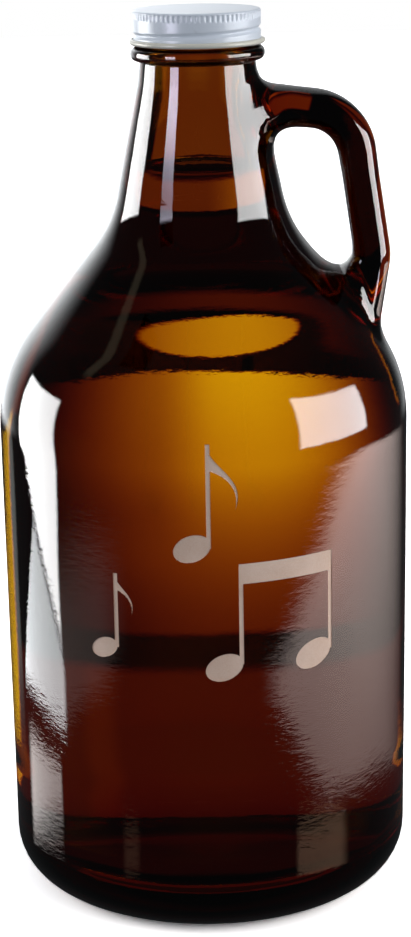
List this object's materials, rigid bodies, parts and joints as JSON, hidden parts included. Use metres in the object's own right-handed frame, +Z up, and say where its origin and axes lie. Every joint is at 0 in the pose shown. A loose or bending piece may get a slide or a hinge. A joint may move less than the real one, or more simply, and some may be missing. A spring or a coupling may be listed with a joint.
{
  "type": "growler",
  "caption": "Amber glass beer growler with a finger loop on the neck, frosted notes on the front and a lined metal screw cap.",
  "frame": {"origin": "centre of the base on the bottle's axis, on the plane that the bearing ring stands on", "axes": "+Z up along the bottle's axis, +X towards the finger loop, -Y is the decorated front"},
  "size_m": [0.1304, 0.1304, 0.2827],
  "materials": {
    "amber_glass": "clear amber glass, fire polished, with a frosted etch inside the notes",
    "beer": "still, clear brown beer",
    "white_lacquer": "white lacquered steel, satin gloss",
    "pulp_board": "uncoated pulp board",
    "sealing_film": "smooth white film"
  },
  "bodies": {
    "jug": {"bottle": "amber_glass", "beer": "beer"},
    "cap_liner": {"liner_board": "pulp_board", "liner_facing": "sealing_film"},
    "cap": {"cap_shell": "white_lacquer"}
  },
  "joints": [
    {"name": "cap_lift", "type": "slide", "parent": "jug", "child": "cap_liner", "axis": [0, 0, 1], "range_m": [0, 0.0127]},
    {"name": "cap_turn", "type": "hinge", "parent": "cap_liner", "child": "cap", "pos_m": [0, 0, 0.2775], "axis": [0, 0, 1], "range_deg": [0, 1080]}
  ],
  "couplings": [
    {"joint": "cap_lift", "follows": "cap_turn", "m_per_rad": 0.0006737}
  ]
}
